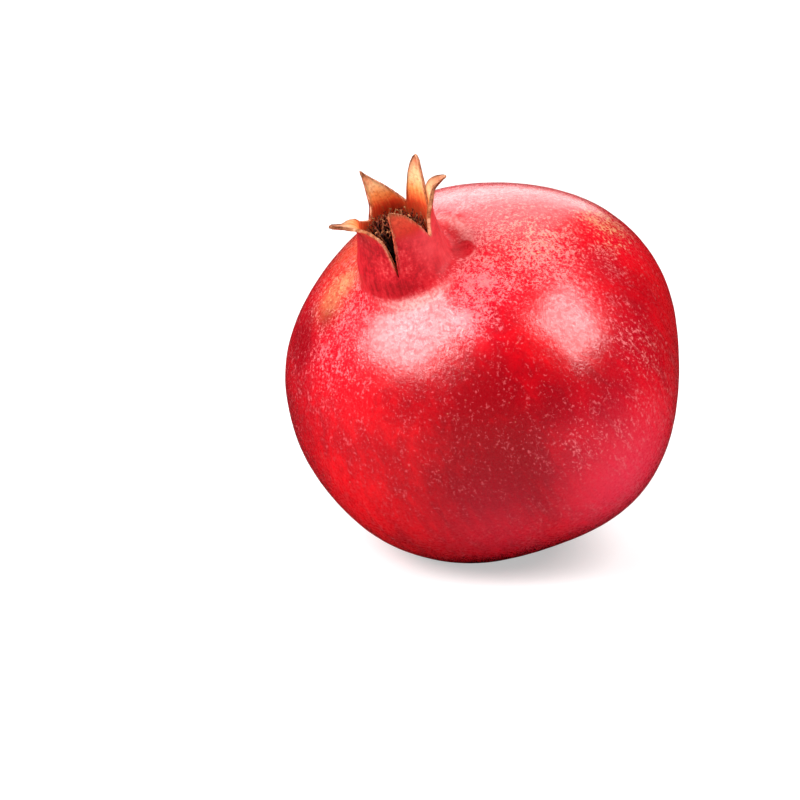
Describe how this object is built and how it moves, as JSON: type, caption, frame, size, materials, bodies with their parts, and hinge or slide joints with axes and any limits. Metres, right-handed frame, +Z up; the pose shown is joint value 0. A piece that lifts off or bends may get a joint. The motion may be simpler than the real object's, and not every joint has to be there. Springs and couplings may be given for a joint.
{
  "type": "pomegranate",
  "caption": "Whole ripe pomegranate lying tipped on its side: glossy red leathery rind, open calyx tube with a ragged crown of pointed lobes round dried stamens, and a clipped stalk.",
  "frame": {"origin": "centre of the flat resting spot under the fruit", "axes": "+Z up from the resting spot; the crown points up and towards -Y, leaning 41 degrees from +Z at the fruit's axis and about 24 degrees at the calyx tube; X runs across"},
  "size_m": [0.1003, 0.0951, 0.1024],
  "materials": {
    "rind": "smooth leathery rind with a waxy gloss, red mottled with coral and yellow",
    "stamen": "dry, brown to tan, matte",
    "stalk": "dry woody stalk with a pale cut end"
  },
  "bodies": {
    "root": {"fruit": "rind", "stamens": "stamen", "stem_stub": "stalk"}
  },
  "joints": []
}
